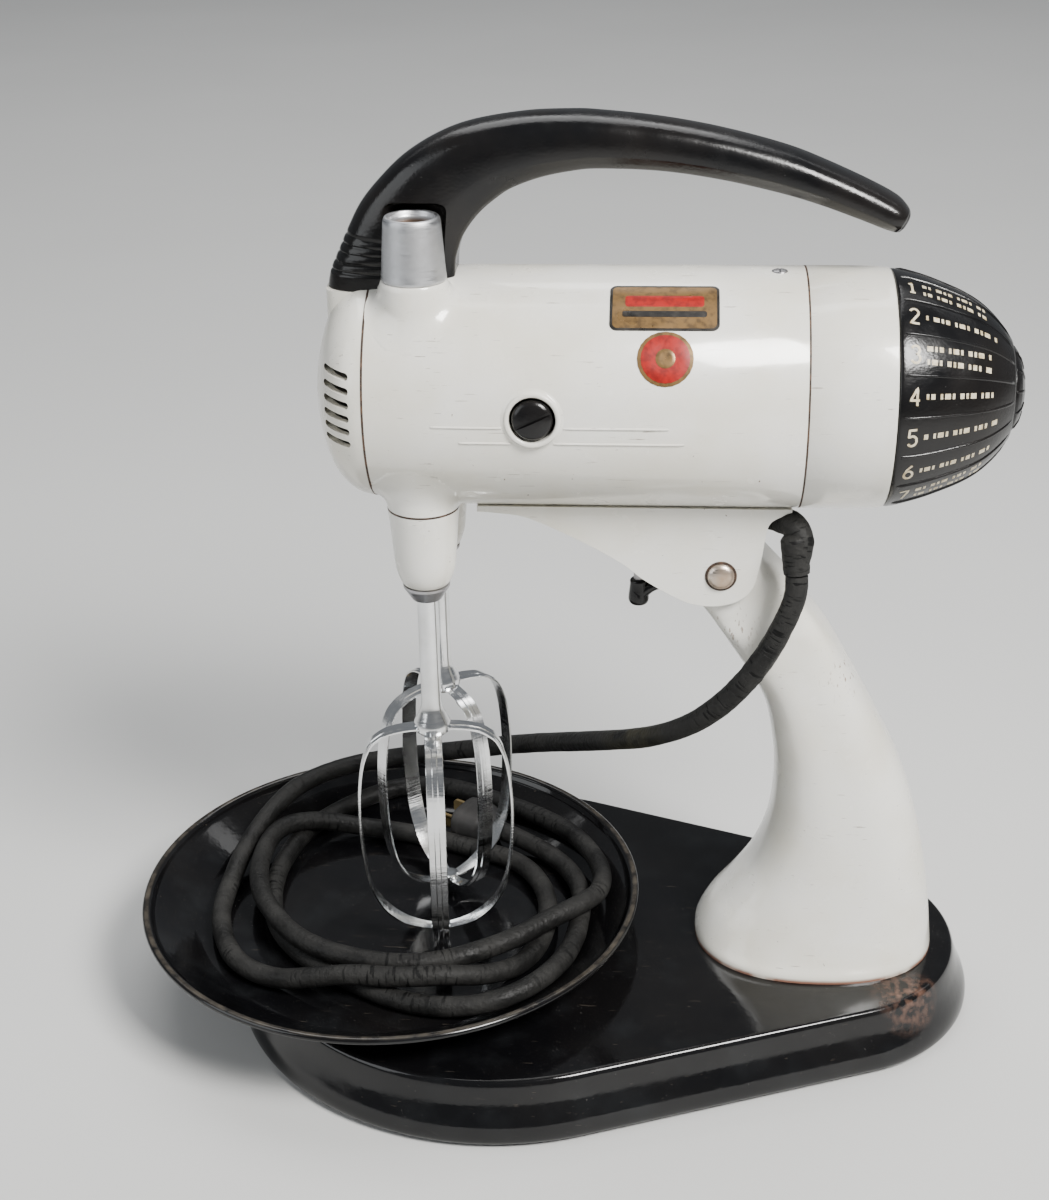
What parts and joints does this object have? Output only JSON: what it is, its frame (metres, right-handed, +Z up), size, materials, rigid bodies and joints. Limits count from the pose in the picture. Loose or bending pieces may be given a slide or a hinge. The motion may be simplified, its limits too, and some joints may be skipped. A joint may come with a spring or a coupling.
{
  "type": "tilt-head stand mixer",
  "caption": "Tilt-head stand mixer: cylindrical head with rear speed dial and arched handle, curved pedestal on a teardrop base, two beaters over a dish turntable that holds the coiled cord.",
  "frame": {"origin": "middle of the footprint of the base and turntable, on the surface the feet stand on", "axes": "+Z up, -X towards the nose and beaters, +X towards the speed dial, the middle plane of the machine is XZ"},
  "size_m": [0.3536, 0.2272, 0.374],
  "materials": {
    "white_enamel": "glossy enamel, yellowed and chipped",
    "black_enamel": "glossy enamel, worn at the rim",
    "bakelite": "polished phenolic",
    "rubber": "matt",
    "cord_rubber": "aged and cracked",
    "chrome": "plated, slightly dulled",
    "nickel": "nickel plate, tarnished",
    "aluminium": "turned, satin",
    "steel": "machined",
    "brass": "machined",
    "copper": null,
    "carbon": "pressed carbon",
    "gold_print": "printed gold",
    "red_print": "printed red"
  },
  "bodies": {
    "stand": {"base_shell": "black_enamel", "base_plate": "steel", "foot_front_left": "rubber", "foot_front_right": "rubber", "foot_rear_left": "rubber", "foot_rear_right": "rubber", "turntable_pin": "steel", "pedestal": "white_enamel", "pedestal_bolt_front": "steel", "pedestal_bolt_rear": "steel", "cord_span": "cord_rubber", "cord_coil": "cord_rubber", "cord_plug": "cord_rubber"},
    "turntable": {"turntable": "black_enamel", "turntable_bush": "brass"},
    "arm": {"arm": "white_enamel", "pivot_pin": "nickel", "swivel_stud": "steel", "stud_nut": "steel", "lever_pin": "steel", "cord_grommet": "rubber"},
    "shift_lever": {"shift_lever": "steel", "lever_knob": "bakelite"},
    "head": {"front_cover": "white_enamel", "housing": "white_enamel", "rear_ring": "white_enamel", "front_bush": "brass", "middle_plate": "steel", "rear_plate": "steel", "field_core": "steel", "coil_left": "copper", "coil_right": "copper", "brush_cap_left": "bakelite", "brush_cap_right": "bakelite", "brush_holder_left": "brass", "brush_holder_right": "brass", "brush_left": "carbon", "brush_right": "carbon", "handle": "bakelite", "handle_screw_front": "steel", "handle_screw_rear": "steel", "drive_cap": "aluminium", "name_plate": "gold_print", "medallion": "red_print"},
    "dial": {"speed_dial": "bakelite", "dial_hub": "bakelite"},
    "armature": {"armature_shaft": "steel", "armature_core": "steel", "commutator": "copper", "fan": "aluminium", "worm": "brass", "governor": "brass"},
    "spindle_left": {"spindle_left": "steel", "worm_wheel_left": "brass", "beater_left": "chrome"},
    "spindle_right": {"spindle_right": "steel", "worm_wheel_right": "brass", "beater_right": "chrome"}
  },
  "joints": [
    {"name": "turntable_spin", "type": "hinge", "parent": "stand", "child": "turntable", "pos_m": [-0.07025, 0, 0.03], "axis": [0, 0, 1], "continuous": true},
    {"name": "head_tilt", "type": "hinge", "parent": "stand", "child": "arm", "pos_m": [0.06595, 0, 0.2022], "axis": [0, 1, 0], "range_deg": [0, 40], "deforming": ["cord_span"]},
    {"name": "bowl_shift", "type": "hinge", "parent": "arm", "child": "head", "pos_m": [0.06975, 0, 0.23], "axis": [0, 0, 1], "range_deg": [-2.5, 2.5]},
    {"name": "lever_swing", "type": "hinge", "parent": "arm", "child": "shift_lever", "pos_m": [0.04275, 0, 0.208], "axis": [0, 0, 1], "range_deg": [-15, 15]},
    {"name": "speed_set", "type": "hinge", "parent": "head", "child": "dial", "pos_m": [0.11975, 0, 0.2715], "axis": [1, 0, 0], "range_deg": [-80, 120]},
    {"name": "armature_spin", "type": "hinge", "parent": "head", "child": "armature", "pos_m": [0.02975, 0, 0.2715], "axis": [1, 0, 0], "continuous": true},
    {"name": "spindle_left_spin", "type": "hinge", "parent": "head", "child": "spindle_left", "pos_m": [-0.04725, -0.0187, 0.2715], "axis": [0, 0, 1], "continuous": true},
    {"name": "spindle_right_spin", "type": "hinge", "parent": "head", "child": "spindle_right", "pos_m": [-0.04725, 0.0187, 0.2715], "axis": [0, 0, 1], "continuous": true}
  ],
  "couplings": [
    {"joint": "lever_swing", "follows": "bowl_shift", "ratio": 6},
    {"joint": "spindle_left_spin", "follows": "armature_spin", "ratio": 0.1},
    {"joint": "spindle_right_spin", "follows": "armature_spin", "ratio": -0.1}
  ]
}
